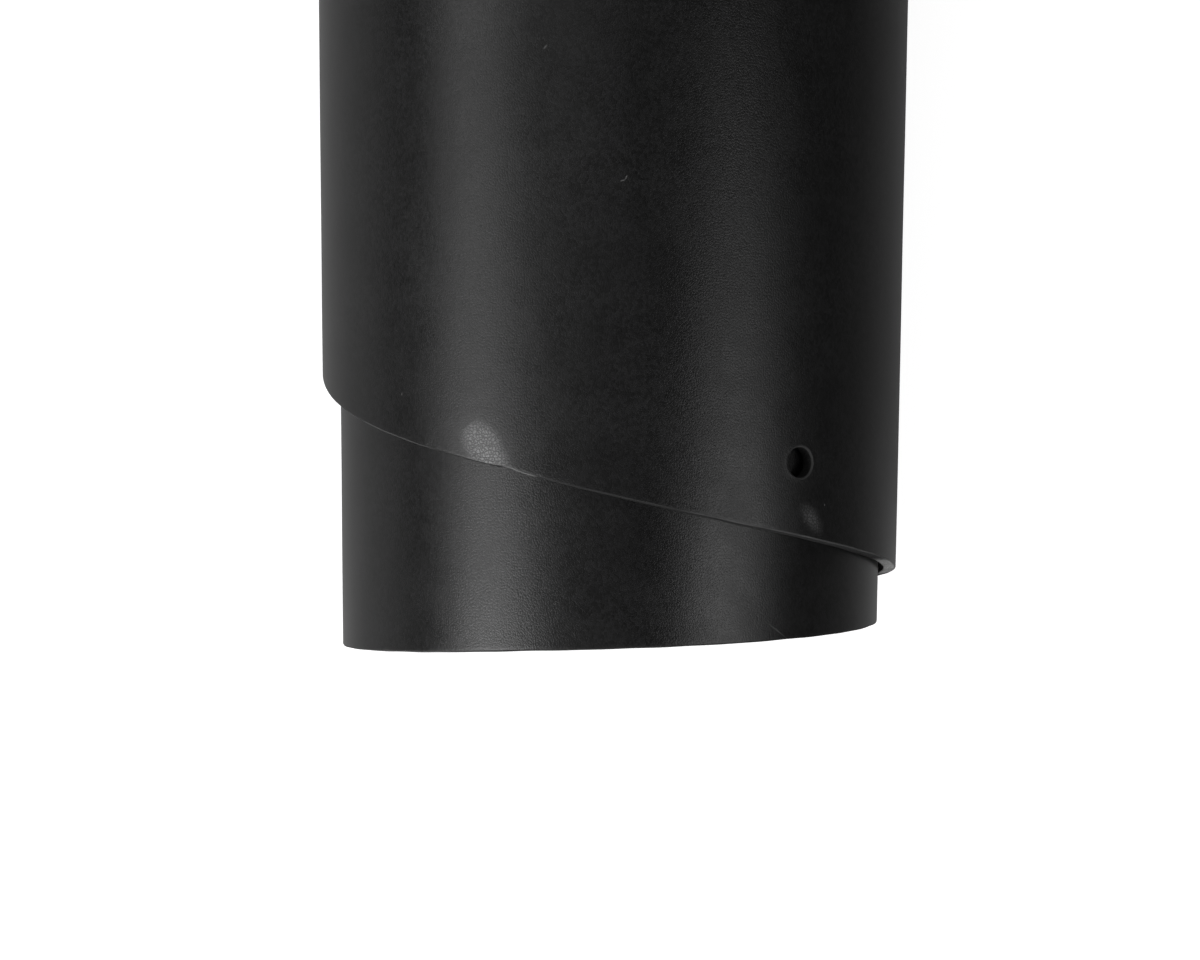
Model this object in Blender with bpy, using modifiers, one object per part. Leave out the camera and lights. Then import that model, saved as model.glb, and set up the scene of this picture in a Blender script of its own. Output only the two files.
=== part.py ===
"""A rolled leather hide: one side of thick leather, rolled up grain side out and lying on its side.

The hide is cut flat from its own sizes, then rolled. The roll lies along Y with the hide's natural
edge towards -Y and its straight back edge towards +Y. The origin is on the flat spot that the roll
rests on, halfway along it. Metres, +Z up. Angles round the roll are measured from its top towards +X,
and the free end of the outer turn is tucked under the roll.
"""

from collections import namedtuple
from math import cos, pi, radians, sin

import bmesh
import bpy
import numpy as np
from mathutils import Matrix, Vector

# The leather.
THICKNESS = 0.0036
LEATHER_COLOUR = (0.014, 0.014, 0.015, 1.0)
LEATHER_ROUGHNESS = 0.45
LEATHER_METALLIC = 0.0

# The roll: its radius is that of the grain side at the left of the outer turn.
ROLL_LENGTH = 0.700
RADIUS_AT_NATURAL_EDGE = 0.0848
RADIUS_AT_BACK_EDGE = 0.0945
TURN_PITCH = 0.0051
TURNS = 5
FLAT_SPOT_DEPTH = 0.0006

# The facets that stand for the round of the roll, and the rows along it.
FACETS_PER_TURN = 32
FACETS_PAST_BOTTOM = 1.5
ROWS = 4
SMOOTH_UP_TO = radians(40)

FULL_TURN = 2 * pi
FACET_ANGLE = FULL_TURN / FACETS_PER_TURN
LEFT = -pi / 2
BOTTOM = -pi
FREE_END = BOTTOM - FACETS_PAST_BOTTOM * FACET_ANGLE
INNER_END = FREE_END + TURNS * FULL_TURN

# The natural edge: how far it is cut back from the end of the roll, at each length along the hide
# from the free end. It climbs to the corner of the free end and wanders a little elsewhere.
EdgePoint = namedtuple("EdgePoint", "along back")
NATURAL_EDGE = (
    EdgePoint(along=0.000, back=0.1620),
    EdgePoint(along=0.050, back=0.1300),
    EdgePoint(along=0.110, back=0.1000),
    EdgePoint(along=0.170, back=0.0762),
    EdgePoint(along=0.215, back=0.0623),
    EdgePoint(along=0.256, back=0.0522),
    EdgePoint(along=0.303, back=0.0413),
    EdgePoint(along=0.352, back=0.0319),
    EdgePoint(along=0.404, back=0.0236),
    EdgePoint(along=0.480, back=0.0140),
    EdgePoint(along=0.560, back=0.0062),
    EdgePoint(along=0.660, back=0.0000),
    EdgePoint(along=0.780, back=0.0039),
    EdgePoint(along=0.900, back=0.0077),
    EdgePoint(along=1.150, back=0.0085),
    EdgePoint(along=1.450, back=0.0130),
    EdgePoint(along=1.750, back=0.0095),
    EdgePoint(along=2.050, back=0.0150),
    EdgePoint(along=2.260, back=0.0260),
)

# The round hole that was punched near the natural edge, on the right of the outer turn.
HOLE_DIAMETER = 0.0094
HOLE_ANGLE = radians(36.8)
HOLE_FROM_END = 0.0547
HOLE_SIDES = 32
PUNCH_ABOVE_GRAIN = 0.0030
PUNCH_BELOW_FLESH = 0.0006


def grain_radius(angle):
    """Radius of the grain side at the natural edge: it shrinks by one pitch with each full turn."""
    return RADIUS_AT_NATURAL_EDGE - TURN_PITCH * (angle - LEFT) / FULL_TURN


def section_scale(y):
    """How large the section is at y: the roll widens evenly towards the back edge."""
    widening = RADIUS_AT_BACK_EDGE / RADIUS_AT_NATURAL_EDGE - 1
    return 1 + widening * (y / ROLL_LENGTH + 0.5)


def grain_point(angle, y):
    """Point on the grain side. It lies no lower than the surface, which gives the flat spot."""
    radius = grain_radius(angle)
    axis_height = grain_radius(BOTTOM) - FLAT_SPOT_DEPTH
    x = radius * sin(angle)
    z = max(axis_height + radius * cos(angle), 0.0)
    scale = section_scale(y)
    return Vector((x * scale, y, z * scale))


def length_along(angle):
    """Length of the hide from its free end to this angle: the middle of the leather, integrated."""
    middle_radius = (grain_radius(FREE_END) + grain_radius(angle) - THICKNESS) / 2
    return middle_radius * (angle - FREE_END)


def cut_back(along):
    """The natural edge's distance from the end of the roll, on a smooth curve through its points."""
    stations = np.array([point.along for point in NATURAL_EDGE])
    values = np.array([point.back for point in NATURAL_EDGE])
    slopes = np.gradient(values, stations)
    here = min(max(int(np.searchsorted(stations, along)), 1), len(stations) - 1)
    span = stations[here] - stations[here - 1]
    share = (along - stations[here - 1]) / span
    ease = share * share * (3 - 2 * share)
    leaving = share * (1 - share) ** 2 * span * slopes[here - 1]
    arriving = share * share * (share - 1) * span * slopes[here]
    return values[here - 1] * (1 - ease) + values[here] * ease + leaving + arriving


def new_collection(name):
    """A collection in the scene."""
    collection = bpy.data.collections.new(name)
    bpy.context.scene.collection.children.link(collection)
    return collection


def new_object(name, bm, collection):
    """A mesh object made from a bmesh, which it frees."""
    mesh = bpy.data.meshes.new(name)
    bm.to_mesh(mesh)
    bm.free()
    obj = bpy.data.objects.new(name, mesh)
    collection.objects.link(obj)
    return obj


def black_leather():
    """Black finished leather."""
    material = bpy.data.materials.new("black_leather")
    material.use_nodes = True
    shader = material.node_tree.nodes["Principled BSDF"]
    shader.inputs["Base Color"].default_value = LEATHER_COLOUR
    shader.inputs["Roughness"].default_value = LEATHER_ROUGHNESS
    shader.inputs["Metallic"].default_value = LEATHER_METALLIC
    material.diffuse_color = LEATHER_COLOUR
    return material


def rolled_grain_side():
    """The grain side: a flat grid, cut to the hide's outline row by row and rolled up."""
    bm = bmesh.new()
    bmesh.ops.create_grid(bm, x_segments=TURNS * FACETS_PER_TURN, y_segments=ROWS, size=0.5)
    for vert in bm.verts:
        angle = FREE_END + (INNER_END - FREE_END) * (vert.co.x + 0.5)
        cut_edge = cut_back(length_along(angle)) - ROLL_LENGTH / 2
        back_edge = ROLL_LENGTH / 2
        y = cut_edge + (back_edge - cut_edge) * (vert.co.y + 0.5)
        vert.co = grain_point(angle, y)
    return bm


def make_hide(collection):
    """The whole hide: its grain side, given the leather's thickness inwards."""
    hide = new_object("hide", rolled_grain_side(), collection)
    hide.data.shade_smooth()
    hide.data.set_sharp_from_angle(angle=SMOOTH_UP_TO)
    hide.data.materials.append(black_leather())
    leather = hide.modifiers.new("leather_thickness", "SOLIDIFY")
    leather.thickness = THICKNESS
    leather.offset = -1
    leather.use_even_offset = True
    leather.use_quality_normals = True
    return hide


def punch_hole(hide, cutters):
    """The round hole through the outer turn. The punch stops short of the turn below."""
    above = PUNCH_ABOVE_GRAIN
    below = THICKNESS + PUNCH_BELOW_FLESH
    bm = bmesh.new()
    bmesh.ops.create_cone(
        bm,
        cap_ends=True,
        segments=HOLE_SIDES,
        radius1=HOLE_DIAMETER / 2,
        radius2=HOLE_DIAMETER / 2,
        depth=above + below,
    )
    punch = new_object("hole_punch", bm, cutters)
    outwards = Vector((sin(HOLE_ANGLE), 0, cos(HOLE_ANGLE)))
    on_grain = grain_point(HOLE_ANGLE, HOLE_FROM_END - ROLL_LENGTH / 2)
    place = Matrix.Translation(on_grain + outwards * (above - below) / 2)
    punch.matrix_world = place @ Matrix.Rotation(HOLE_ANGLE, 4, "Y")
    punch.hide_render = True
    punch.display_type = "WIRE"
    hole = hide.modifiers.new("punched_hole", "BOOLEAN")
    hole.operation = "DIFFERENCE"
    hole.solver = "EXACT"
    hole.object = punch


def main():
    """Clears the scene and builds the hide."""
    for obj in list(bpy.data.objects):
        bpy.data.objects.remove(obj, do_unlink=True)
    hide = make_hide(new_collection("leather_hide"))
    punch_hole(hide, new_collection("cutters"))


main()
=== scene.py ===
"""The looks of a rolled leather hide: one side of thick black leather, rolled up grain side out.

The hide is worked out flat, as a sheet with rounded edges and one punched hole, and is then carried
round the roll by a formula. Lengths are metres. Angles round the roll are measured from its top
towards +X. They grow along the hide, from the free end that is tucked under the roll to the inner
end. A place on the flat hide is (along, across): along it from its free end, and across it towards
its straight back edge, from the line that the natural edge reaches furthest.
"""

from __future__ import annotations

import logging
from dataclasses import dataclass, field
from enum import Enum
from math import cos, pi, radians, sin
from typing import Callable, Union

import bpy
import numpy as np
from mathutils import Matrix, Vector


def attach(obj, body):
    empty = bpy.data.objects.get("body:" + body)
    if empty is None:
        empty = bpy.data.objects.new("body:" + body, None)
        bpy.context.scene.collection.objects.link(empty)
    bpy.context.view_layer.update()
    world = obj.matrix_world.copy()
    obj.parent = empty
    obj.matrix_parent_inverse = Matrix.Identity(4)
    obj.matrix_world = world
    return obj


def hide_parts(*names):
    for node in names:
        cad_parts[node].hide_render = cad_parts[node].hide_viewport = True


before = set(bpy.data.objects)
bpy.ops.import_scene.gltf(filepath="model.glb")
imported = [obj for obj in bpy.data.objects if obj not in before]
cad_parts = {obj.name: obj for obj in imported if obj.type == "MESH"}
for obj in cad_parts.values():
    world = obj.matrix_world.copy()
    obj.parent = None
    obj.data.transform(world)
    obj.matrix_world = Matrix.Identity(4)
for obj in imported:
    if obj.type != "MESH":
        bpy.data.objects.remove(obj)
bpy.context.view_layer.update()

LOG = logging.getLogger("leather_hide")
HIDE_NODE = "hide"
BODY = "root"
FLAT_MAP = "flat_hide"
DEPTH_ATTRIBUTE = "depth_in_leather"
EDGE_ATTRIBUTE = "distance_to_edge"
FULL_TURN = 2 * pi
QUARTER_TURN = pi / 2
STEPS_PER_VALUE = 40
AREA_STEPS = 2000

Array = np.ndarray
Pair = tuple[float, float]
Triple = tuple[float, float, float]
Colour = tuple[float, float, float, float]
Socket = bpy.types.NodeSocket
Value = Union[float, tuple, Socket]


class Side(Enum):
    """The surfaces of the leather, in the order of the mesh's material slots."""

    GRAIN = 0
    FLESH = 1
    CUT = 2


class MarkKind(Enum):
    """What a mark does to the leather."""

    SCUFF = "rubs the finish off and raises the pebbles"
    PALE = "leaves a paler trace"
    DARK = "leaves a darker trace"
    POLISHED = "polishes the finish"
    # Marks of this kind paint a highlight: they turn the grain corner of the cut edge pale where the
    # rounded edge catches the light.
    WORN = "wears the dye off the grain corner of the cut edge"
    BARE = "leaves the fibres of the cut edge bare"


# The shape -----------------------------------------------------------------------


def bell(away: Array, reach: float) -> Array:
    """A bell curve: 1 at no distance away, and 1/e at its reach."""
    return np.exp(-((away / reach) ** 2))


@dataclass(frozen=True)
class Roll:
    """How the hide is rolled: a spiral of even pitch that widens towards the back edge."""

    thickness: float = 0.0036
    length: float = 0.700
    radius_at_natural_edge: float = 0.0848
    radius_at_back_edge: float = 0.0945
    turn_pitch: float = 0.0051
    turns: int = 5
    free_end: float = radians(-196.875)
    flat_spot_depth: float = 0.0006
    flat_spot_softness: float = 0.0003
    left: float = -QUARTER_TURN
    bottom: float = -pi

    @property
    def inner_end(self) -> float:
        """The angle at which the hide ends inside the roll."""
        return self.free_end + self.turns * FULL_TURN

    def grain_radius(self, angle: Array) -> Array:
        """Radius of the grain side at the natural edge: one pitch less for each full turn."""
        return self.radius_at_natural_edge - self.turn_pitch * (angle - self.left) / FULL_TURN

    def section_scale(self, y: Array) -> Array:
        """How large the section is at y: it grows evenly from the natural edge to the back edge."""
        widening = self.radius_at_back_edge / self.radius_at_natural_edge - 1
        return 1 + widening * (y / self.length + 0.5)

    def length_along(self, angle: Array) -> Array:
        """Length of the hide from its free end: its middle radius times the angle turned."""
        middle = (self.grain_radius(self.free_end) + self.grain_radius(angle) - self.thickness) / 2
        return middle * (angle - self.free_end)

    def flat_place(self, angle: Array, y: Array) -> Array:
        """The place on the flat hide of points of the roll, (along, across), on the last axis."""
        along = self.length_along(angle) * self.section_scale(y)
        return np.stack([along, y + self.length / 2], axis=-1)

    def point(self, angle: Array, y: Array, depth: Array) -> Array:
        """Points of the rolled leather.

        The grain side is the spiral (r sin a, h + r cos a). Its height z is held softly at or above
        the surface, as half the sum of z and the root of z squared plus the softness squared. From
        there a point goes in along the spiral's normal by its depth.

        Args:
            angle: angle round the roll of each point.
            y: place along the roll of each point.
            depth: distance of each point below the grain side, less than nothing above it.

        Returns:
            The points, with x, y and z on the last axis.
        """
        radius = self.grain_radius(angle)
        scale = self.section_scale(y)
        height = self.grain_radius(self.bottom) - self.flat_spot_depth + radius * np.cos(angle)
        held = np.hypot(height, self.flat_spot_softness)
        shrinking = -self.turn_pitch / FULL_TURN
        run_x = shrinking * np.sin(angle) + radius * np.cos(angle)
        run_z = (shrinking * np.cos(angle) - radius * np.sin(angle)) * (1 + height / held) / 2
        run = np.hypot(run_x, run_z)
        x = scale * radius * np.sin(angle) + depth * run_z / run
        z = scale * (height + held) / 2 - depth * run_x / run
        return np.stack([x, y + 0 * angle, z], axis=-1)


@dataclass(frozen=True)
class NaturalEdge:
    """The hide's belly edge, as it grew: it climbs to the corner of the free end and wanders.

    Each of its points is a length along the hide, and how far the edge is cut back there.
    """

    points: tuple[Pair, ...] = (
        (0.000, 0.1620), (0.050, 0.1300), (0.110, 0.1000), (0.170, 0.0762),
        (0.215, 0.0623), (0.256, 0.0522), (0.303, 0.0413), (0.352, 0.0319),
        (0.404, 0.0236), (0.480, 0.0140), (0.560, 0.0062), (0.660, 0.0000),
        (0.780, 0.0039), (0.900, 0.0077), (1.150, 0.0085), (1.450, 0.0130),
        (1.750, 0.0095), (2.050, 0.0150), (2.260, 0.0260),
    )
    wander: float = 0.00003
    wander_lengths: Triple = (0.0413, 0.0237, 0.0149)
    nick_along: float = 0.2566
    nick_reach: float = 0.0026
    nick_depth: float = 0.0006
    slope_step: float = 0.0005

    def cut_back(self, along: Array) -> Array:
        """The edge's distance from the end of the roll.

        A smooth curve through the points (cubic Hermite, with the slopes of the points' own
        gradient), and on it three sine waves of unlike length and one shallow nick, a bell curve.

        Args:
            along: lengths along the hide from its free end.

        Returns:
            The distance at each length.
        """
        stations, values = np.array(self.points).T
        slopes = np.gradient(values, stations)
        here = np.clip(np.searchsorted(stations, along), 1, len(stations) - 1)
        span = stations[here] - stations[here - 1]
        share = (along - stations[here - 1]) / span
        ease = share * share * (3 - 2 * share)
        leaving = share * (1 - share) ** 2 * span * slopes[here - 1]
        arriving = share * share * (share - 1) * span * slopes[here]
        smooth = values[here - 1] * (1 - ease) + values[here] * ease + leaving + arriving
        waves = sum(np.sin(FULL_TURN * along / size + n) for n, size in enumerate(self.wander_lengths))
        nick = self.nick_depth * bell(along - self.nick_along, self.nick_reach)
        return smooth + self.wander * waves + nick

    def slant(self, along: Array) -> Array:
        """How much longer a step across the hide is than one square to the edge."""
        rise = self.cut_back(along + self.slope_step) - self.cut_back(along - self.slope_step)
        return np.hypot(1, rise / (2 * self.slope_step))


@dataclass(frozen=True)
class EdgeSection:
    """The section of a cut edge: a rounded grain corner, a straight cut and a rounded flesh corner.

    The cut leans, so that the flesh side reaches further out than the grain side by the overreach.
    """

    thickness: float
    grain_round: float
    flesh_round: float
    overreach: float = 0.0
    grain_steps: int = 5
    cut_steps: int = 3
    flesh_steps: int = 3

    def profile(self) -> tuple[Array, Array, Array]:
        """The section's points, from the grain side to the flesh side.

        Each corner is a quarter circle of its radius r, at (r - r sin a, r - r cos a), and the lean
        sets each point in by the overreach times the share of the thickness that is left below it.

        Returns:
            How far each point is set in from the edge, its depth, and its distance along the section.
        """
        turn = np.linspace(0, QUARTER_TURN, self.grain_steps + 1)
        back = np.linspace(0, QUARTER_TURN, self.flesh_steps + 1)
        lowest = self.thickness - self.flesh_round
        cut = np.linspace(self.grain_round, lowest, self.cut_steps + 1)[1:-1]
        inset = [self.grain_round * (1 - np.sin(turn)), 0 * cut, self.flesh_round * (1 - np.cos(back))]
        depth = [self.grain_round * (1 - np.cos(turn)), cut, lowest + self.flesh_round * np.sin(back)]
        inset, depth = np.concatenate(inset), np.concatenate(depth)
        inset = inset + self.overreach * (1 - depth / self.thickness)
        steps = np.hypot(np.diff(inset), np.diff(depth))
        return inset, depth, np.concatenate([[0], np.cumsum(steps)])


@dataclass(frozen=True)
class PunchedHole:
    """The round hole near the natural edge, with the raised rim that the punch left."""

    diameter: float = 0.0086
    angle: float = radians(36.8)
    y: float = -0.2953
    rim_round: float = 0.0005
    flesh_round: float = 0.0003
    rim_height: float = 0.00009
    rim_reach: float = 0.0011
    out_of_round: float = 0.035
    oval_turn: float = 0.3
    patch_reach: float = 0.0085
    patch_rings: int = 6
    patch_easing: float = 1.4

    def radius(self, bearing: Array) -> Array:
        """The hole's radius at each bearing round it, which is a little oval."""
        return self.diameter / 2 * (1 + self.out_of_round * np.cos(2 * bearing + self.oval_turn))

    def raised(self, away: Array) -> Array:
        """How far the rim stands up at a distance from the hole: a bell curve."""
        return self.rim_height * bell(away, self.rim_reach)


@dataclass(frozen=True)
class Crowding:
    """A stretch in which a grid's lines lie closer together."""

    middle: float
    reach: float
    times: float


def crowded(start: float, end: float, count: int, crowdings: tuple[Crowding, ...]) -> Array:
    """Values from start to end, closer together where they are crowded.

    The density is one, plus a bell curve for each crowding, and equal shares of its integral lie
    between the values.

    Args:
        start: the first value.
        end: the last value.
        count: how many values.
        crowdings: where they crowd, how far round that and how many times more.

    Returns:
        The values, in order.
    """
    fine = np.linspace(start, end, STEPS_PER_VALUE * count)
    density = 1 + sum(c.times * bell(fine - c.middle, c.reach) for c in crowdings)
    total = np.concatenate([[0], np.cumsum((density[1:] + density[:-1]) / 2)])
    return np.interp(np.linspace(0, total[-1], count), total, fine)


def put_in_scene(data: bpy.types.ID) -> bpy.types.Object:
    """Puts a new object in the scene, at the origin.

    Args:
        data: its mesh, light or camera, whose name it takes.

    Returns:
        The object.
    """
    obj = bpy.data.objects.new(data.name, data)
    bpy.context.scene.collection.objects.link(obj)
    return obj


def rim_of(grid: Array) -> Array:
    """The rim of a grid as one closed ring, counter-clockwise as seen from the grain side."""
    return np.concatenate([grid[:, 0], grid[-1, 1:], grid[-2::-1, -1], grid[0, -2:0:-1]])


class Shell:
    """Gathers a closed surface: its vertices, and its four-sided faces by grids and bands."""

    def __init__(self) -> None:
        """An empty shell."""
        self.vertices: list[tuple[Array, ...]] = []
        self.faces: list[Array] = []
        self.sides: list[Array] = []
        self.count = 0

    def add_points(
        self, points: Array, places: Array, folds: Array, depths: Array, to_edges: Array
    ) -> Array:
        """Adds vertices.

        Args:
            points: their places in space, on the last axis.
            places: their places on the flat hide, on the last axis.
            folds: what a cut face's map adds to the place, as if the face were folded out flat.
            depths: how deep in the leather each lies.
            to_edges: how far each is from the nearest edge.

        Returns:
            Their numbers, in the shape of the depths.
        """
        folds = np.broadcast_to(folds, places.shape).reshape(-1, 2)
        flat = (places.reshape(-1, 2), folds, depths.reshape(-1), to_edges.reshape(-1))
        self.vertices.append((points.reshape(-1, 3), *flat))
        numbers = self.count + np.arange(depths.size).reshape(depths.shape)
        self.count += depths.size
        return numbers

    def add_faces(self, corners: list[Array], side: Side) -> None:
        """Adds faces.

        Args:
            corners: equal arrays of their first, second, third and fourth corners.
            side: the side of the leather that they are on.
        """
        faces = np.stack([corner.reshape(-1) for corner in corners], axis=-1)
        self.faces.append(faces)
        self.sides.append(np.full(len(faces), side.value))

    def add_band(self, outer: Array, inner: Array, side: Side) -> None:
        """Adds the faces between a closed ring and the next one, which it runs round."""
        self.add_faces([outer, np.roll(outer, -1), np.roll(inner, -1), inner], side)

    def add_grid(self, numbers: Array, kept: Array, side: Side) -> None:
        """Adds the faces of a grid of vertices, turned inwards on the flesh side.

        Args:
            numbers: the vertices' numbers, along the hide and then across it.
            kept: which cells get a face.
            side: the side of the leather.
        """
        corners = [numbers[:-1, :-1], numbers[1:, :-1], numbers[1:, 1:], numbers[:-1, 1:]]
        corners = [corner[kept] for corner in corners]
        self.add_faces(corners if side is Side.GRAIN else corners[::-1], side)

    def mesh(self, name: str) -> bpy.types.Mesh:
        """Makes the mesh, smooth, with its flat map and its attributes.

        Args:
            name: the mesh's name.

        Returns:
            The new mesh.
        """
        used, faces = np.unique(np.concatenate(self.faces), return_inverse=True)
        faces = faces.reshape(-1, 4)
        sides = np.concatenate(self.sides)
        points, places, folds, depths, to_edges = (np.concatenate(p)[used] for p in zip(*self.vertices))
        mesh = bpy.data.meshes.new(name)
        mesh.vertices.add(len(used))
        mesh.vertices.foreach_set("co", points.astype(np.float32).ravel())
        mesh.loops.add(faces.size)
        mesh.loops.foreach_set("vertex_index", faces.astype(np.int32).ravel())
        mesh.polygons.add(len(faces))
        mesh.polygons.foreach_set("loop_start", np.arange(0, faces.size, 4, dtype=np.int32))
        mesh.polygons.foreach_set("material_index", sides.astype(np.int32))
        mesh.update(calc_edges=True)
        mesh.shade_smooth()
        cut = sides == Side.CUT.value
        places = places[faces]
        places[cut] += folds[faces[cut]]
        flat = mesh.uv_layers.new(name=FLAT_MAP)
        flat.uv.foreach_set("vector", places.astype(np.float32).ravel())
        for attribute, values in ((DEPTH_ATTRIBUTE, depths), (EDGE_ATTRIBUTE, to_edges)):
            layer = mesh.attributes.new(attribute, "FLOAT", "POINT")
            layer.data.foreach_set("value", values.astype(np.float32))
        mesh.validate()
        return mesh


@dataclass(frozen=True)
class Swell:
    """One slow wave in the round of the leather: cos(waves round * angle + 2 pi y / length + phase)."""

    waves_round: int
    length: float
    phase: float


@dataclass
class RolledHide:
    """The whole hide: a sheet with rounded edges and one hole, rolled up."""

    name: str = "rolled_hide"
    roll: Roll = field(default_factory=Roll)
    edge: NaturalEdge = field(default_factory=NaturalEdge)
    hole: PunchedHole = field(default_factory=PunchedHole)
    grain_round: float = 0.0003
    flesh_round: float = 0.0003
    overreach: float = 0.00035
    columns: int = 640
    rows: int = 56
    crowded_columns: tuple[Crowding, ...] = (
        Crowding(middle=radians(120), reach=radians(280), times=4.5),
        Crowding(middle=radians(36.8), reach=radians(9), times=6.0),
        Crowding(middle=radians(-22), reach=radians(8), times=8.0),
    )
    crowded_rows: tuple[Crowding, ...] = (Crowding(middle=0.0, reach=0.035, times=9.0),)
    swell_height: float = 0.00003
    swells: tuple[Swell, ...] = (
        Swell(waves_round=3, length=0.173, phase=0.4),
        Swell(waves_round=5, length=0.107, phase=2.1),
        Swell(waves_round=2, length=0.061, phase=4.4),
        Swell(waves_round=7, length=0.083, phase=5.3),
    )

    def edge_y(self, angle: Array) -> Array:
        """Place along the roll of the natural edge."""
        return self.edge.cut_back(self.roll.length_along(angle)) - self.roll.length / 2

    def y_at(self, angle: Array, share: Array, inset: float = 0.0) -> Array:
        """Place along the roll of a share of the way across.

        Args:
            angle: angle round the roll of each point.
            share: how far across the hide each is, from its natural edge to its back edge.
            inset: how far they are kept away from both edges.

        Returns:
            The place of each point.
        """
        start, end = self.edge_y(angle), self.roll.length / 2
        slant = self.edge.slant(self.roll.length_along(angle))
        return np.clip(start + share * (end - start), start + inset * slant, end - inset)

    def swelling(self, angle: Array, y: Array) -> Array:
        """How far the leather stands out of its round: it is the same on every turn, and none below."""
        phases = [s.waves_round * angle + FULL_TURN * y / s.length + s.phase for s in self.swells]
        return self.swell_height * sum(np.cos(phase) for phase in phases) * (1 + np.cos(angle)) / 2

    def to_edge(self, angle: Array, y: Array) -> Array:
        """Distance of each point of the sheet from its nearest cut edge.

        Args:
            angle: angle round the roll of each point.
            y: place along the roll of each point.

        Returns:
            The distance of each point, and nothing for a point past an edge.
        """
        roll, hole = self.roll, self.hole
        radius = roll.grain_radius(angle) * roll.section_scale(y)
        slant = self.edge.slant(roll.length_along(angle))
        to_hole = np.hypot((angle - hole.angle) * radius, y - hole.y) - hole.diameter / 2
        to_ends = np.minimum(angle - roll.free_end, roll.inner_end - angle) * radius
        to_sides = np.minimum((y - self.edge_y(angle)) / slant, roll.length / 2 - y)
        return np.maximum(np.minimum(np.minimum(to_hole, to_ends), to_sides), 0)

    def place(
        self, shell: Shell, angle: Array, y: Array, depth: Array, fold: Array | float = 0.0
    ) -> Array:
        """Rolls vertices up and adds them.

        Args:
            shell: the shell that takes them.
            angle: angle round the roll of each vertex.
            y: place along the roll of each vertex.
            depth: distance of each vertex below the grain side.
            fold: what a cut face's map adds to the place on the flat hide.

        Returns:
            The vertices' numbers.
        """
        points = self.roll.point(angle, y, depth - self.swelling(angle, y))
        places = self.roll.flat_place(angle, y)
        return shell.add_points(points, places, fold, depth + 0 * angle, self.to_edge(angle, y))

    def window(self, angle: Array, y: Array) -> tuple[tuple[slice, slice], Array]:
        """Finds the part of the grid that the patch round the hole takes the place of.

        Args:
            angle: the grid's angles.
            y: the grid's places along the roll.

        Returns:
            The window's vertices as slices, and which of the grid's cells are kept.
        """
        reach, hole = self.hole.patch_reach, self.hole
        swing = reach / self.roll.grain_radius(hole.angle)
        first, last = np.searchsorted(angle[:, 0], [hole.angle - swing, hole.angle + swing])
        low, high = np.searchsorted(y[(first + last) // 2], [hole.y - reach, hole.y + reach])
        kept = np.ones((angle.shape[0] - 1, angle.shape[1] - 1), dtype=bool)
        kept[first:last, low:high] = False
        return (slice(first, last + 1), slice(low, high + 1)), kept

    def add_sheet(self, shell: Shell) -> tuple[Array, Array, Array, Array]:
        """Adds both sides of the sheet, open at the hole's window, and the cut edge all round.

        Every ring of the edge is the rim of the same grid, kept away from the outline by its inset.

        Args:
            shell: the shell that takes them.

        Returns:
            The window's rim: its angles, its places along the roll, and its vertices on the grain
            side and on the flesh side.
        """
        roll = self.roll
        columns = crowded(roll.free_end, roll.inner_end, self.columns, self.crowded_columns)
        shares = crowded(0.0, 1.0, self.rows, self.crowded_rows)
        angle, share = np.meshgrid(columns, shares, indexing="ij")
        window, kept = self.window(angle, self.y_at(angle, share))
        outwards = np.zeros(angle.shape + (2,))
        outwards[0, :, 0], outwards[-1, :, 0] = -1, 1
        outwards[:, 0, 1], outwards[:, -1, 1] = -1, 1
        section = EdgeSection(roll.thickness, self.grain_round, self.flesh_round, self.overreach)
        rings = []
        sides = []
        for inset, depth, run in zip(*section.profile()):
            swing = inset / roll.grain_radius(angle)
            at = np.clip(angle, roll.free_end + swing, roll.inner_end - swing)
            y = self.y_at(at, share, inset)
            whole = depth in (0, roll.thickness)
            part = (lambda grid: grid) if whole else rim_of
            numbers = self.place(shell, part(at), part(y), depth + 0 * part(at), run * part(outwards))
            if whole:
                shell.add_grid(numbers, kept, Side.GRAIN if depth == 0 else Side.FLESH)
                sides.append(rim_of(numbers[window]))
            rings.append(rim_of(numbers) if whole else numbers)
        for inner, outer in zip(rings[:-1], rings[1:]):
            shell.add_band(outer, inner, Side.CUT)
        y = self.y_at(angle, share)
        return rim_of(angle[window]), rim_of(y[window]), sides[0], sides[1]

    def add_hole(
        self, shell: Shell, rim_angle: Array, rim_y: Array, grain_rim: Array, flesh_rim: Array
    ) -> None:
        """Adds the patch round the hole on both sides, and the hole's wall between them.

        Rings go from the window's rim to a circle by shares of the way, and then down the section of
        the hole's edge. The grain side is raised round the hole.

        Args:
            shell: the shell that takes them.
            rim_angle: the angles of the window's rim.
            rim_y: the places along the roll of the window's rim.
            grain_rim: the window's rim on the grain side.
            flesh_rim: the window's rim on the flesh side.
        """
        roll, hole = self.roll, self.hole
        arm = roll.grain_radius(hole.angle) * roll.section_scale(hole.y)
        rim_x, rim_y = (rim_angle - hole.angle) * arm, rim_y - hole.y
        bearing = np.arctan2(rim_y, rim_x)
        inwards = -np.stack([np.cos(bearing), np.sin(bearing)], axis=-1)

        def ring(inset: float, depth: float, run: float, share: float = 0.0) -> Array:
            """One ring.

            Args:
                inset: how far the section's circle is outside the hole's radius.
                depth: distance of the ring below the grain side.
                run: how far the ring is along the section, which folds its map out.
                share: its share of the way from that circle to the window's rim.

            Returns:
                The numbers of the ring's vertices.
            """
            radius = hole.radius(bearing) + inset
            x = (1 - share) * radius * np.cos(bearing) + share * rim_x
            y = (1 - share) * radius * np.sin(bearing) + share * rim_y
            raised = hole.raised(np.hypot(x, y) - hole.radius(bearing)) * (1 - depth / roll.thickness)
            return self.place(shell, hole.angle + x / arm, hole.y + y, depth - raised, run * inwards)

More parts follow.
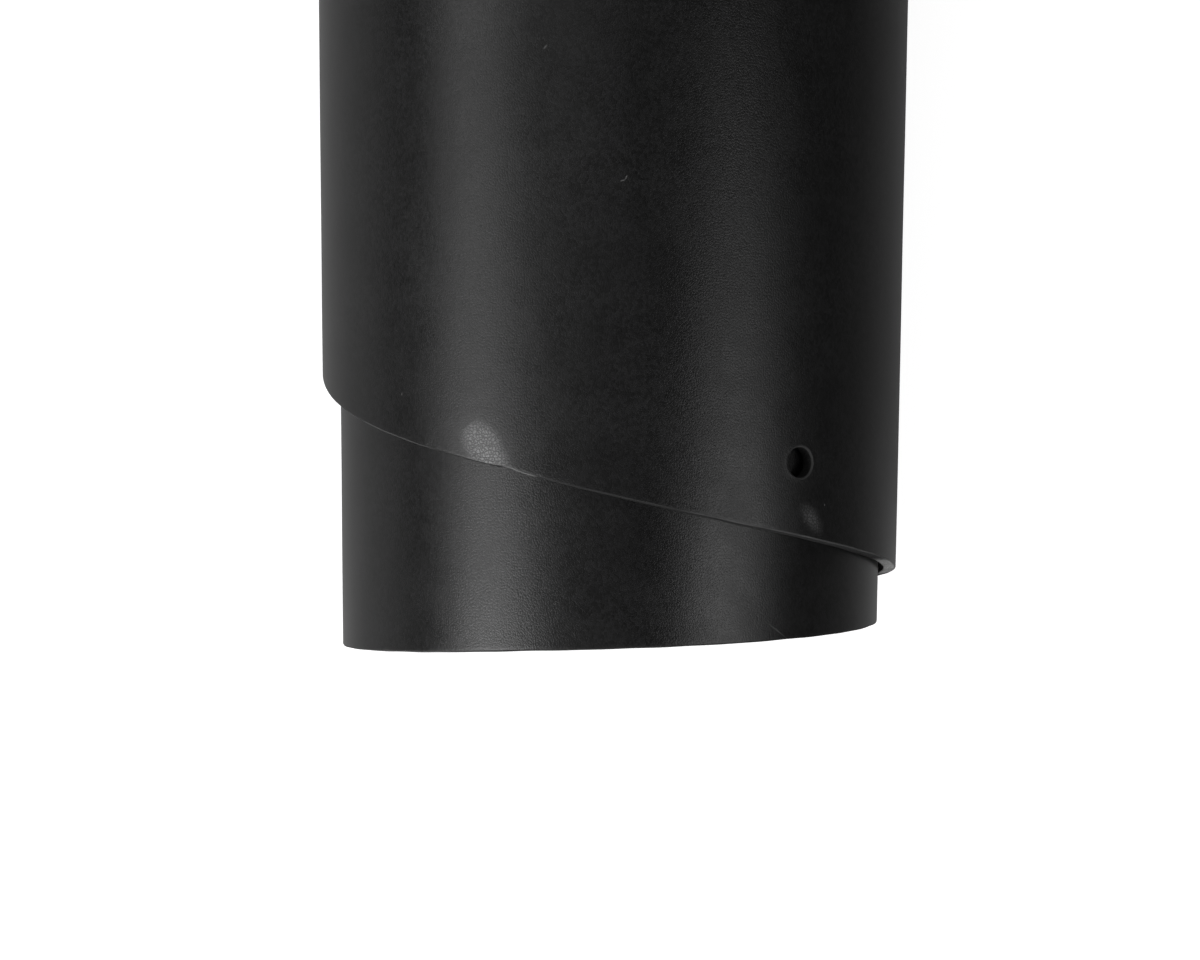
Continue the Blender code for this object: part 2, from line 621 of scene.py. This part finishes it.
        section = list(zip(*EdgeSection(roll.thickness, hole.rim_round, hole.flesh_round).profile()))
        shares = np.linspace(0, 1, hole.patch_rings + 2)[1:-1] ** hole.patch_easing
        rings = [grain_rim] + [ring(*section[0], share) for share in shares[::-1]]
        on_grain = len(rings)
        rings += [ring(*step) for step in section]
        on_wall = len(rings) - 1
        rings += [ring(*section[-1], share) for share in shares] + [flesh_rim]
        for number, (outer, inner) in enumerate(zip(rings[:-1], rings[1:])):
            side = Side.GRAIN if number < on_grain else Side.CUT if number < on_wall else Side.FLESH
            shell.add_band(outer, inner, side)

    def build(self) -> bpy.types.Object:
        """Builds the hide's mesh as one object at the origin.

        Returns:
            The hide's object, without its finishes.
        """
        shell = Shell()
        self.add_hole(shell, *self.add_sheet(shell))
        return put_in_scene(shell.mesh(self.name))

    def dress(self, hide: bpy.types.Object, finishes: dict[Side, bpy.types.Material]) -> None:
        """Gives each side of the leather its finish."""
        for side in Side:
            hide.data.materials.append(finishes[side])

    def declare(self, hide: bpy.types.Object) -> None:
        """Attaches the hide to the body that it rides on and hides the part that it stands for; it works
        out the hide's width and length, but does nothing with them.

        Args:
            hide: the hide's object.
        """
        roll = self.roll
        grid = np.linspace(roll.free_end, roll.inner_end, AREA_STEPS)
        width = roll.length / 2 - self.edge_y(grid)
        middle = self.edge_y(grid) + width / 2
        steps = np.gradient(roll.length_along(grid)) * roll.section_scale(middle)
        longest = float(roll.length_along(roll.inner_end) * roll.section_scale(roll.length / 2))
        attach(hide, BODY)
        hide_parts(HIDE_NODE)


# The finishes --------------------------------------------------------------------


class Graph:
    """A node tree, with short ways to add nodes to it and wire them."""

    def __init__(self, tree: bpy.types.NodeTree) -> None:
        """A graph on a node tree."""
        self.tree = tree

    def add(
        self, kind: str, inputs: dict[str | int, Value] | None = None, **settings: object
    ) -> bpy.types.Node:
        """Adds a node.

        Args:
            kind: the node's type, without its first words ShaderNode.
            inputs: a value or a socket for each input, by name or number.
            settings: the node's own properties.

        Returns:
            The new node.
        """
        node = self.tree.nodes.new("ShaderNode" + kind)
        for name, value in settings.items():
            setattr(node, name, value)
        self.feed(node, inputs or {})
        return node

    def feed(self, node: bpy.types.Node, inputs: dict[str | int, Value]) -> None:
        """Gives a node's inputs their values, or links them to their sockets.

        Args:
            node: the node.
            inputs: a value or a socket for each input, by name or number.
        """
        for name, value in inputs.items():
            if isinstance(value, Socket):
                self.tree.links.new(value, node.inputs[name])
            else:
                node.inputs[name].default_value = value

    def math(self, operation: str, *values: Value) -> Socket:
        """The result of a Math node."""
        return self.add("Math", dict(enumerate(values)), operation=operation).outputs[0]

    def product(self, first: Value, second: Value) -> Socket:
        """The product of two numbers."""
        return self.math("MULTIPLY", first, second)

    def vector(self, operation: str, *values: Value, result: str = "Vector") -> Socket:
        """The result of a Vector Math node."""
        return self.add("VectorMath", dict(enumerate(values)), operation=operation).outputs[result]

    def scaled(self, vector: Value, factor: Value) -> Socket:
        """A vector times a number."""
        return self.add("VectorMath", {0: vector, "Scale": factor}, operation="SCALE").outputs[0]

    def noise(self, inputs: dict[str, Value]) -> bpy.types.NodeOutputs:
        """Layered noise on the flat hide: its Fac and Color."""
        return self.add("TexNoise", inputs, noise_dimensions="2D").outputs

    def spread(self, value: Value, low: Value, high: Value, to_low: Value, to_high: Value) -> Socket:
        """A value carried smoothly from one range to another, and held inside it."""
        inputs = dict(enumerate((value, low, high, to_low, to_high)))
        return self.add("MapRange", inputs, interpolation_type="SMOOTHSTEP").outputs["Result"]

    def blend(self, share: Value, first: Value, second: Value) -> Socket:
        """A mix of two numbers."""
        return self.add("Mix", {0: share, 2: first, 3: second}, data_type="FLOAT").outputs[0]

    def tint(self, share: Value, first: Value, second: Value) -> Socket:
        """A mix of two colours."""
        return self.add("Mix", {0: share, 6: first, 7: second}, data_type="RGBA").outputs[2]

    def grey(self, level: Value) -> Socket:
        """A grey colour of a level."""
        return self.add("CombineColor", {0: level, 1: level, 2: level}).outputs[0]

    def bump(self, height: Value) -> Socket:
        """The normal of a height in metres."""
        return self.add("Bump", {"Height": height, "Distance": 1.0, "Strength": 1.0}).outputs[0]

    def flat_place(self) -> Socket:
        """The place on the flat hide."""
        return self.add("UVMap", uv_map=FLAT_MAP).outputs[0]

    def attribute(self, name: str) -> Socket:
        """The value of one of the mesh's attributes."""
        return self.add("Attribute", attribute_name=name).outputs["Fac"]

    def clouding(self, place: Socket, size: float, low: Value, high: Value) -> Socket:
        """Slow clouds of a size between two values."""
        return self.effect(CLOUDING, {"Place": place, "Size": size, "Low": low, "High": high})["Value"]

    def effect(self, effect: Effect, inputs: dict[str, Value]) -> bpy.types.NodeOutputs:
        """Places a shared effect and gives its outputs."""
        return self.add("Group", inputs, node_tree=effect.tree()).outputs


@dataclass(frozen=True)
class Effect:
    """An effect that finishes share: a shader node group with named inputs and outputs."""

    name: str
    inputs: dict[str, Value]
    outputs: tuple[str, ...]
    wire: Callable[[Graph, dict[str, Socket]], tuple[Socket, ...]]

    def tree(self) -> bpy.types.NodeTree:
        """The effect's node group, which is built the first time.

        Returns:
            The node group.
        """
        if self.name in bpy.data.node_groups:
            return bpy.data.node_groups[self.name]
        tree = bpy.data.node_groups.new(self.name, "ShaderNodeTree")
        for name, value in self.inputs.items():
            kind = "NodeSocketVector" if isinstance(value, tuple) else "NodeSocketFloat"
            tree.interface.new_socket(name, in_out="INPUT", socket_type=kind).default_value = value
        for name in self.outputs:
            tree.interface.new_socket(name, in_out="OUTPUT", socket_type="NodeSocketFloat")
        graph = Graph(tree)
        given = tree.nodes.new("NodeGroupInput").outputs
        result = tree.nodes.new("NodeGroupOutput").inputs
        wired = self.wire(graph, {name: given[name] for name in self.inputs})
        for name, socket in zip(self.outputs, wired):
            tree.links.new(socket, result[name])
        return tree


NOISE_MIDDLE = (0.5, 0.5, 0.5)
CLOUD_SPREAD = (0.32, 0.68)
PORE_SPREAD = (0.3, 0.7)
PEBBLE_SPREAD = (0.0, 0.35)
FIBRE_SPREAD = (0.3, 0.7)
FIBRE_SLANT = radians(24)
MARK_START_SOFTNESS = 0.07
# The clouds, range and least strength of the painted highlight along the grain corner of the cut edges.
PAINTED_EDGE_HIGHLIGHT_CLOUD = 0.006
PAINTED_EDGE_HIGHLIGHT_RANGE = (0.75, 1.25)
PAINTED_EDGE_HIGHLIGHT_LEAST = 0.08


def wire_clouding(graph: Graph, given: dict[str, Socket]) -> tuple[Socket, ...]:
    """Slow clouds: layered noise of a size, spread between two values.

    Args:
        graph: the graph of the effect's node group.
        given: the effect's inputs.

    Returns:
        The effect's outputs, in order.
    """
    scale = graph.math("DIVIDE", 1.0, given["Size"])
    noise = graph.noise({"Vector": given["Place"], "Scale": scale, "Detail": 3.0})
    return (graph.spread(noise["Fac"], *CLOUD_SPREAD, given["Low"], given["High"]),)


def wire_pebbles(graph: Graph, given: dict[str, Socket]) -> tuple[Socket, ...]:
    """Pebbles of grain: cells with rounded tops and narrow valleys, and a tone for each cell.

    Args:
        graph: the graph of the effect's node group.
        given: the effect's inputs.

    Returns:
        The effect's outputs, in order.
    """
    scale = graph.math("DIVIDE", 1.0, given["Cell"])
    wobble = graph.noise({"Vector": given["Place"], "Scale": scale, "Detail": 1.0})["Color"]
    shift = graph.scaled(graph.vector("SUBTRACT", wobble, NOISE_MIDDLE), given["Cell"])
    cells = {"Vector": graph.vector("ADD", given["Place"], shift), "Scale": scale}
    edges = graph.add("TexVoronoi", cells, voronoi_dimensions="2D", feature="DISTANCE_TO_EDGE")
    tones = graph.add("TexVoronoi", cells, voronoi_dimensions="2D", feature="F1")
    tone = graph.add("SeparateColor", {0: tones.outputs["Color"]}).outputs[0]
    return graph.spread(edges.outputs["Distance"], *PEBBLE_SPREAD, 0.0, 1.0), tone


def wire_fibres(graph: Graph, given: dict[str, Socket]) -> tuple[Socket, ...]:
    """Fibres: two layers of drawn-out noise that cross at a slant, and a coarser tangle.

    Args:
        graph: the graph of the effect's node group.
        given: the effect's inputs.

    Returns:
        The effect's outputs, in order.
    """
    inverse = graph.vector("DIVIDE", (1.0, 1.0, 1.0), given["Size"])
    place = graph.vector("MULTIPLY", given["Place"], inverse)
    slanted = graph.add("Mapping", {"Vector": place, "Rotation": (0.0, 0.0, FIBRE_SLANT)}).outputs[0]
    first = graph.noise({"Vector": place, "Scale": 1.0, "Detail": 4.0, "Distortion": 0.6})["Fac"]
    second = graph.noise({"Vector": slanted, "Scale": 0.7, "Detail": 3.0, "Distortion": 1.2})["Fac"]
    height = graph.product(graph.math("ADD", first, second), 0.5)
    return (graph.spread(height, *FIBRE_SPREAD, 0.0, 1.0),)


def wire_mark(graph: Graph, given: dict[str, Socket]) -> tuple[Socket, ...]:
    """A mark: an oval of a half size round its middle, turned, with a soft rim and a straight start.

    Args:
        graph: the graph of the effect's node group.
        given: the effect's inputs.

    Returns:
        The effect's outputs, in order.
    """
    inputs = {"Vector": given["Place"], "Location": given["Middle"], "Rotation": given["Turn"]}
    inputs["Scale"] = given["Half Size"]
    inside = graph.add("Mapping", inputs, vector_type="TEXTURE").outputs[0]
    away = graph.vector("LENGTH", inside, result="Value")
    oval = graph.spread(away, graph.math("SUBTRACT", 1.0, given["Softness"]), 1.0, 1.0, 0.0)
    forwards = graph.add("SeparateXYZ", {0: inside}).outputs[0]
    past = graph.math("SUBTRACT", forwards, given["Start"])
    started = graph.spread(past, 0.0, MARK_START_SOFTNESS, 0.0, 1.0)
    return (graph.product(oval, started),)


NOWHERE = (0.0, 0.0, 0.0)
CLOUD_INPUTS = {"Place": NOWHERE, "Size": 0.05, "Low": 0.0, "High": 1.0}
CLOUDING = Effect("clouding", CLOUD_INPUTS, ("Value",), wire_clouding)
PEBBLES = Effect("pebbles", {"Place": NOWHERE, "Cell": 0.001}, ("Height", "Tone"), wire_pebbles)
FIBRES = Effect("fibres", {"Place": NOWHERE, "Size": (0.001, 0.001, 0.001)}, ("Height",), wire_fibres)
MARK_INPUTS = {
    "Place": NOWHERE,
    "Middle": NOWHERE,
    "Half Size": (1.0, 1.0, 1.0),
    "Turn": NOWHERE,
    "Softness": 0.5,
    "Start": -2.0,
}
MARK = Effect("mark", MARK_INPUTS, ("Mask",), wire_mark)


@dataclass(frozen=True)
class Mark:
    """A mark, an oval at its place on the flat hide, turned by a number of degrees."""

    along: float
    across: float
    half_length: float
    half_width: float
    turn: float
    strength: float
    softness: float
    start: float = -2.0


MARKS = {
    MarkKind.SCUFF: (
        Mark(0.2518, 0.0593, 0.0088, 0.0064, -51, 0.78, 0.65, start=-0.76),
        Mark(0.2530, 0.0566, 0.0090, 0.0048, -25, 1.00, 0.90),
        Mark(0.3447, 0.0392, 0.0070, 0.0036, -50, 0.36, 1.00),
    ),
    MarkKind.PALE: (
        # A faint pale halo round the scuff: rubbed finish, and a painted highlight where the light band
        # brightens.
        Mark(0.2520, 0.0600, 0.0130, 0.0095, -30, 0.14, 1.00),
        Mark(0.2929, 0.1295, 0.0009, 0.0002, 20, 0.60, 0.60),
        Mark(0.2938, 0.1303, 0.0008, 0.0002, 62, 0.60, 0.60),
        Mark(0.2740, 0.1649, 0.0009, 0.0003, 50, 0.45, 0.80),
        Mark(0.3497, 0.0430, 0.0004, 0.0002, 80, 0.90, 0.60),
        Mark(0.2258, 0.0728, 0.0006, 0.0002, 85, 0.50, 0.60),
        Mark(0.8304, 0.0087, 0.0050, 0.0003, -36, 0.30, 0.80),
        Mark(0.2547, 0.0533, 0.0006, 0.0005, 0, 1.00, 0.70),
    ),
    # Stretches of the cut edges' grain corner painted pale: a painted highlight where the rounded edge
    # catches the light.
    MarkKind.WORN: (
        Mark(0.2130, 0.0630, 0.0270, 0.0120, -15, 0.38, 0.35),
        Mark(0.2620, 0.0515, 0.0058, 0.0060, 0, 0.75, 0.50),
        Mark(0.3520, 0.0340, 0.0560, 0.0150, -14, 0.36, 0.30),
        Mark(0.3410, 0.0547, 0.0100, 0.0100, 0, 0.20, 0.30),
        Mark(0.7160, 0.0020, 0.0380, 0.0100, 0, 0.45, 0.50),
    ),
    MarkKind.BARE: (
        Mark(0.2620, 0.0505, 0.0058, 0.0060, 0, 0.60, 0.50),
        Mark(0.4040, 0.0215, 0.0240, 0.0085, -9, 0.90, 0.45),
    ),
    MarkKind.POLISHED: (
        Mark(0.7650, 0.0300, 0.1300, 0.0900, 0, 1.00, 0.60),
        Mark(0.2500, 0.0600, 0.0300, 0.0260, -20, 0.80, 1.00),
    ),
    MarkKind.DARK: (
        Mark(0.2284, 0.1476, 0.0006, 0.0003, 20, 0.80, 0.60),
        Mark(0.7691, 0.0375, 0.0008, 0.0003, 25, 0.80, 0.60),
        Mark(0.7165, 0.0295, 0.0004, 0.0012, 5, 0.60, 0.70),
        Mark(0.2265, 0.1350, 0.0015, 0.0200, 0, 0.40, 1.00),
        Mark(0.3386, 0.0490, 0.0034, 0.0006, -52, 0.50, 0.90),
    ),
}


def marked(graph: Graph, kind: MarkKind, place: Socket) -> Socket:
    """The strongest mark of a kind at each place.

    Args:
        graph: the graph that it is worked out in.
        kind: the kind of mark.
        place: the place on the flat hide.

    Returns:
        The mark's strength, from nothing to one.
    """
    strongest: Value = 0.0
    for mark in MARKS[kind]:
        inputs = {
            "Place": place,
            "Middle": (mark.along, mark.across, 0.0),
            "Half Size": (mark.half_length, mark.half_width, 1.0),
            "Turn": (0.0, 0.0, radians(mark.turn)),
            "Softness": mark.softness,
            "Start": mark.start,
        }
        mask = graph.product(graph.effect(MARK, inputs)["Mask"], mark.strength)
        strongest = graph.math("MAXIMUM", strongest, mask)
    return strongest


def wire_painted_edge_highlight(graph: Graph, given: dict[str, Socket]) -> tuple[Socket, ...]:
    """Painted edge highlight: the marked stretches of the cut edges' grain corner painted pale as a
    highlight, over a faint painted highlight everywhere.

    Args:
        graph: the graph of the effect's node group.
        given: the effect's inputs.

    Returns:
        The effect's outputs, in order.
    """
    clouds = graph.clouding(given["Place"], PAINTED_EDGE_HIGHLIGHT_CLOUD, *PAINTED_EDGE_HIGHLIGHT_RANGE)
    painted_highlight = graph.math("MAXIMUM", marked(graph, MarkKind.WORN, given["Place"]), PAINTED_EDGE_HIGHLIGHT_LEAST)
    return (graph.product(painted_highlight, clouds),)


# The painted highlight along the cut edges, shared by the grain side and the cut edge.
PAINTED_EDGE_HIGHLIGHT = Effect("painted_edge_highlight", {"Place": NOWHERE}, ("Worn",), wire_painted_edge_highlight)


@dataclass(frozen=True)
class GrainFinish:
    """The grain side: black, with a satin finish over a fine grain."""

    black: Colour = (0.0037, 0.0037, 0.0039, 1.0)
    # The pale of pale traces, and of the painted highlight along the cut edges and round the scuff.
    pale_and_painted_highlight: Colour = (0.2000, 0.2000, 0.2010, 1.0)
    sheen: float = 0.08
    sheen_roughness: float = 0.50
    roughness: float = 0.35
    grazing_roughness: float = 0.28
    polished_roughness: float = 0.33
    haze: float = 0.025
    scuffed: Colour = (0.2850, 0.2850, 0.2870, 1.0)
    pale_and_painted_highlight_roughness: float = 0.50
    cell: float = 0.0007
    cell_stretch: float = 0.8
    cell_tones: Pair = (0.10, 1.90)
    pore_tones: Pair = (0.4, 1.6)
    cell_height: float = 0.000016
    pore: float = 0.00028
    pore_height: float = 0.000008
    scuff_cell: float = 0.0009
    scuff_height: float = 0.000080
    scuff_tones: Pair = (0.30, 1.0)
    dark_tone: float = 0.4
    cloud_size: float = 0.030
    cloud_tones: Pair = (0.80, 1.25)
    haze_size: float = 0.012
    grazing: Pair = (0.42, 0.80)
    bump_fades: Pair = (0.30, 0.60)
    ragged: float = 0.0012
    ragged_scale: float = 700.0
    # How far the painted highlight on the grain side reaches from the cut edge, and how strong it is.
    painted_highlight_reach: float = 0.0007
    painted_highlight_share: float = 0.8

    def material(self) -> bpy.types.Material:
        """Makes the material.

        Returns:
            The finished material.
        """
        material, graph, shader = new_material("grain_side", self.black)
        shader.inputs["Sheen Weight"].default_value = self.sheen
        shader.inputs["Sheen Roughness"].default_value = self.sheen_roughness
        place = graph.flat_place()
        jitter = graph.noise({"Vector": place, "Scale": self.ragged_scale, "Detail": 2.0})["Color"]
        jitter = graph.scaled(graph.vector("SUBTRACT", jitter, NOISE_MIDDLE), self.ragged)
        scuff = marked(graph, MarkKind.SCUFF, graph.vector("ADD", place, jitter))
        pale = marked(graph, MarkKind.PALE, place)
        dark = marked(graph, MarkKind.DARK, place)
        drawn_out = graph.vector("MULTIPLY", place, (1.0, self.cell_stretch, 0.0))
        grain = graph.effect(PEBBLES, {"Place": drawn_out, "Cell": self.cell})
        pebbles = graph.effect(PEBBLES, {"Place": place, "Cell": self.scuff_cell})
        pores = graph.noise({"Vector": place, "Scale": 1 / self.pore, "Detail": 2.0})["Fac"]
        clouds = graph.clouding(place, self.cloud_size, *self.cloud_tones)
        haze = graph.clouding(place, self.haze_size, -self.haze, self.haze)
        # A painted highlight on the grain side, right at the cut edges.
        painted_highlight = graph.spread(graph.attribute(EDGE_ATTRIBUTE), 0.0, self.painted_highlight_reach, self.painted_highlight_share, 0.0)
        painted_highlight = graph.product(painted_highlight, graph.effect(PAINTED_EDGE_HIGHLIGHT, {"Place": place})["Worn"])

        tone = graph.product(clouds, graph.spread(grain["Tone"], 0.0, 1.0, *self.cell_tones))
        tone = graph.product(tone, graph.spread(pores, *PORE_SPREAD, *self.pore_tones))
        tone = graph.product(tone, graph.spread(dark, 0.0, 1.0, 1.0, self.dark_tone))
        inputs = {0: 1.0, 6: self.black, 7: graph.grey(tone)}
        black = graph.add("Mix", inputs, data_type="RGBA", blend_type="MULTIPLY").outputs[2]
        pebble_tone = graph.spread(pebbles["Height"], 0.0, 1.0, *self.scuff_tones)
        scuffed = graph.product(scuff, pebble_tone)
        # Pale traces and the painted edge highlight take one pale colour.
        pale_and_painted_highlight = graph.math("MAXIMUM", pale, painted_highlight)
        colour = graph.tint(scuffed, graph.tint(pale_and_painted_highlight, black, self.pale_and_painted_highlight), self.scuffed)
        pale_and_painted_highlight = graph.math("MAXIMUM", pale_and_painted_highlight, scuffed)
        slant = graph.add("LayerWeight", {"Blend": 0.5}).outputs["Facing"]
        polished = marked(graph, MarkKind.POLISHED, place)
        roughness = graph.blend(polished, self.roughness, self.polished_roughness)
        roughness = graph.math("ADD", haze, roughness)
        grazing = graph.spread(slant, *self.grazing, 0.0, 1.0)
        roughness = graph.blend(grazing, roughness, self.grazing_roughness)
        roughness = graph.blend(pale_and_painted_highlight, roughness, self.pale_and_painted_highlight_roughness)

        height = graph.product(grain["Height"], self.cell_height)
        height = graph.math("MULTIPLY_ADD", pores, self.pore_height, height)
        raised = graph.product(scuff, self.scuff_height)
        height = graph.math("MULTIPLY_ADD", pebbles["Height"], raised, height)
        height = graph.product(height, graph.spread(slant, *self.bump_fades, 1.0, 0.0))
        graph.feed(shader, {"Base Color": colour, "Roughness": roughness, "Normal": graph.bump(height)})
        return material


def new_material(
    name: str, colour: tuple[float, ...]
) -> tuple[bpy.types.Material, Graph, bpy.types.Node]:
    """A new material.

    Args:
        name: the material's name.
        colour: its colour in plain views.

    Returns:
        The material, its graph and its Principled shader.
    """
    material = bpy.data.materials.new(name)
    material.use_nodes = True
    material.diffuse_color = colour
    return material, Graph(material.node_tree), material.node_tree.nodes["Principled BSDF"]


@dataclass(frozen=True)
class FleshFinish:
    """The flesh side: a dark, short nap of fibres."""

    dark: Colour = (0.012, 0.012, 0.012, 1.0)
    pale: Colour = (0.034, 0.033, 0.032, 1.0)
    roughness: Pair = (0.96, 0.82)
    fibre: Triple = (0.0035, 0.0009, 1.0)
    fibre_height: float = 0.00016
    cloud_size: float = 0.040
    clouds: float = 0.25

    def material(self) -> bpy.types.Material:
        """Makes the material.

        Returns:
            The finished material.
        """
        material, graph, shader = new_material("flesh_side", self.dark)
        place = graph.flat_place()
        fibres = graph.effect(FIBRES, {"Place": place, "Size": self.fibre})["Height"]
        clouds = graph.clouding(place, self.cloud_size, -self.clouds, self.clouds)
        colour = graph.tint(graph.math("ADD", fibres, clouds), self.dark, self.pale)
        roughness = graph.spread(fibres, 0.0, 1.0, *self.roughness)
        bump = graph.bump(graph.product(fibres, self.fibre_height))
        graph.feed(shader, {"Base Color": colour, "Roughness": roughness, "Normal": bump})
        return material


@dataclass(frozen=True)
class CutFinish:
    """The cut edges: grey-black fibres in layers, under the thin grain."""

    # Near black: the edge's dye, and painted shade that makes the thin dark line along the natural edge.
    dye_and_shade: Colour = (0.0070, 0.0070, 0.0071, 1.0)
    dark: Colour = (0.1800, 0.1800, 0.1800, 1.0)
    pale: Colour = (0.5500, 0.5490, 0.5470, 1.0)
    # The pale of the grain corner where its highlight is painted, and of the grain layer over bare
    # fibres.
    grain: Colour = (0.1600, 0.1600, 0.1600, 1.0)
    roughness: Pair = (0.80, 0.60)
    fibre: Triple = (0.0011, 0.0006, 1.0)
    fibre_height: float = 0.00010
    cloud_size: float = 0.010
    clouds: float = 0.2
    grain_depth: Pair = (0.00025, 0.00050)

    def material(self) -> bpy.types.Material:
        """Makes the material.

        Returns:
            The finished material.
        """
        material, graph, shader = new_material("cut_edge", self.dye_and_shade)
        place = graph.flat_place()
        # The painted highlight along the grain corner of the cut edges.
        painted_highlight = graph.effect(PAINTED_EDGE_HIGHLIGHT, {"Place": place})["Worn"]
        fibres = graph.effect(FIBRES, {"Place": place, "Size": self.fibre})["Height"]
        clouds = graph.clouding(place, self.cloud_size, -self.clouds, self.clouds)
        fibrous = graph.tint(graph.math("ADD", fibres, clouds), self.dark, self.pale)
        inside = graph.spread(graph.attribute(DEPTH_ATTRIBUTE), *self.grain_depth, 0.0, 1.0)
        corner = graph.product(painted_highlight, graph.math("SUBTRACT", 1.0, inside))
        bare = marked(graph, MarkKind.BARE, place)
        height = graph.product(graph.product(fibres, inside), self.fibre_height)
        # Near black dye with painted shade, and pale where the corner's highlight is painted.
        dye_and_shade = graph.tint(corner, self.dye_and_shade, self.grain)
        colour = graph.tint(bare, dye_and_shade, graph.tint(inside, self.grain, fibrous))
        roughness = graph.spread(bare, 0.0, 1.0, *self.roughness)
        graph.feed(shader, {"Base Color": colour, "Roughness": roughness, "Normal": graph.bump(height)})
        return material


# The studio ----------------------------------------------------------------------


def aimed(place: Vector, right: Vector, up: Vector, back: Vector) -> Matrix:
    """The matrix of a light or a camera, which looks away from its back."""
    return Matrix.Translation(place) @ Matrix((right, up, back)).transposed().to_4x4()


@dataclass(frozen=True)
class SoftLight:
    """A soft box: an even, rectangular light that hangs in a direction from what it lights."""

    name: str
    lean: float
    forwards: float
    width: float
    length: float
    power: float
    distance: float = 1.3

    def hang(self, target: Vector) -> bpy.types.Object:
        """Hangs the light, leaning from straight above the target towards +X, and forwards to -Y.

        Its width lies along the way that it leans, and its length along the way that it swings forwards.

        Args:
            target: the point that it faces.

        Returns:
            The light's object.
        """
        light = bpy.data.lights.new(self.name, "AREA")
        light.shape = "RECTANGLE"
        light.size, light.size_y = self.width, self.length
        light.energy = self.power
        lean, forwards = self.lean, self.forwards
        towards = Vector((sin(lean) * cos(forwards), -sin(forwards), cos(lean) * cos(forwards)))
        along = Vector((-sin(lean) * sin(forwards), -cos(forwards), -cos(lean) * sin(forwards)))
        obj = put_in_scene(light)
        place = target + towards * self.distance
        obj.matrix_world = aimed(place, along.cross(towards), along, towards)
        obj.visible_camera = False
        return obj


@dataclass(frozen=True)
class Studio:
    """A pale floor, soft lights and a camera that looks straight down on the near end of the roll."""

    target: Triple = (0.0, -0.30, 0.10)
    lights: tuple[SoftLight, ...] = (
        SoftLight("main_box", radians(-50), radians(21), width=0.65, length=0.40, power=6.6),
        SoftLight("left_box", radians(-53), radians(3), width=0.45, length=1.35, power=3.17),
        SoftLight("left_strip", radians(-62), radians(0), width=0.25, length=1.40, power=0.70),
        SoftLight("right_box", radians(47), radians(12), width=0.62, length=0.50, power=2.75),
        SoftLight("top_box", radians(-15), radians(-5), width=0.90, length=0.90, power=0.44),
        SoftLight("front_box", radians(0), radians(83), width=0.60, length=0.20, power=3.4),
        SoftLight("far_box", radians(-12), radians(-40), width=0.45, length=0.90, power=1.7),
        SoftLight("near_box", radians(8), radians(43), width=0.45, length=0.90, power=1.7),
    )
    floor_size: float = 8.0
    floor_glow: float = 0.855
    floor_pale: float = 0.60
    floor_in_gloss: Pair = (0.42, 0.10)
    gloss_fades: Pair = (0.05, 0.45)
    floor_bounce: float = 0.75
    floor_roughness: float = 0.9
    background_pale: float = 0.87
    background_light: float = 0.028
    camera_place: Triple = (-0.0044, -0.2897, 0.9705)
    camera_turn: float = radians(0.33)
    camera_tilt: float = radians(0.75)
    lens: float = 90.0
    sensor: float = 36.0

    def lay_floor(self) -> None:
        """Lays the floor: pale to the camera, and duller in the leather's gloss, most towards +X."""
        half = self.floor_size / 2
        corners = [(-half, -half, 0), (half, -half, 0), (half, half, 0), (-half, half, 0)]
        mesh = bpy.data.meshes.new("floor")
        mesh.from_pydata(corners, [], [(0, 1, 2, 3)])
        floor = put_in_scene(mesh)
        material, graph, shader = new_material("pale_floor", (self.floor_pale,) * 3 + (1.0,))
        ray = graph.add("LightPath").outputs
        seen = ray["Is Camera Ray"]
        place = graph.add("TexCoord").outputs["Object"]
        aside = graph.add("SeparateXYZ", {0: place}).outputs[0]
        in_gloss = graph.spread(aside, *self.gloss_fades, *self.floor_in_gloss)
        unseen = graph.blend(ray["Is Glossy Ray"], self.floor_bounce, in_gloss)
        graph.feed(shader, {
            "Base Color": graph.grey(graph.blend(seen, unseen, self.floor_pale)),
            "Emission Color": graph.grey(graph.product(seen, self.floor_glow)),
            "Emission Strength": 1.0,
            "Specular IOR Level": 0.0,
            "Roughness": self.floor_roughness,
        })
        mesh.materials.append(material)

    def light_background(self) -> None:
        """Makes the background pale to the camera, and a dim even light for everything else."""
        world = bpy.data.worlds.new("studio")
        world.use_nodes = True
        graph = Graph(world.node_tree)
        seen = graph.add("LightPath").outputs["Is Camera Ray"]
        strength = graph.blend(seen, self.background_light, self.background_pale)
        inputs = {"Strength": strength, "Color": (1.0, 1.0, 1.0, 1.0)}
        graph.feed(world.node_tree.nodes["Background"], inputs)
        bpy.context.scene.world = world

    def set_camera(self) -> None:
        """Sets the camera: it looks straight down, turned and tilted by less than a degree."""
        turn, tilt = self.camera_turn, self.camera_tilt
        right = Vector((cos(turn), sin(turn), 0.0))
        back = Vector((-sin(turn) * sin(tilt), cos(turn) * sin(tilt), cos(tilt)))
        camera = bpy.data.cameras.new("camera")
        camera.lens = self.lens
        camera.sensor_width = self.sensor
        obj = put_in_scene(camera)
        obj.matrix_world = aimed(Vector(self.camera_place), right, back.cross(right), back)
        bpy.context.scene.camera = obj

    def set_up(self) -> None:
        """Sets up the floor, the background, the lights and the camera."""
        bpy.context.scene.view_settings.view_transform = "Standard"
        self.lay_floor()
        self.light_background()
        for light in self.lights:
            light.hang(Vector(self.target))
        self.set_camera()


def main() -> None:
    """Builds the studio and the hide."""
    logging.basicConfig(level=logging.INFO, format="%(name)s %(message)s")
    Studio().set_up()
    LOG.info("studio: set up")
    hide = RolledHide()
    piece = hide.build()
    hide.dress(piece, {
        Side.GRAIN: GrainFinish().material(),
        Side.FLESH: FleshFinish().material(),
        Side.CUT: CutFinish().material(),
    })
    hide.declare(piece)
    LOG.info("%s: %d faces", piece.name, len(piece.data.polygons))


if __name__ == "__main__":
    main()
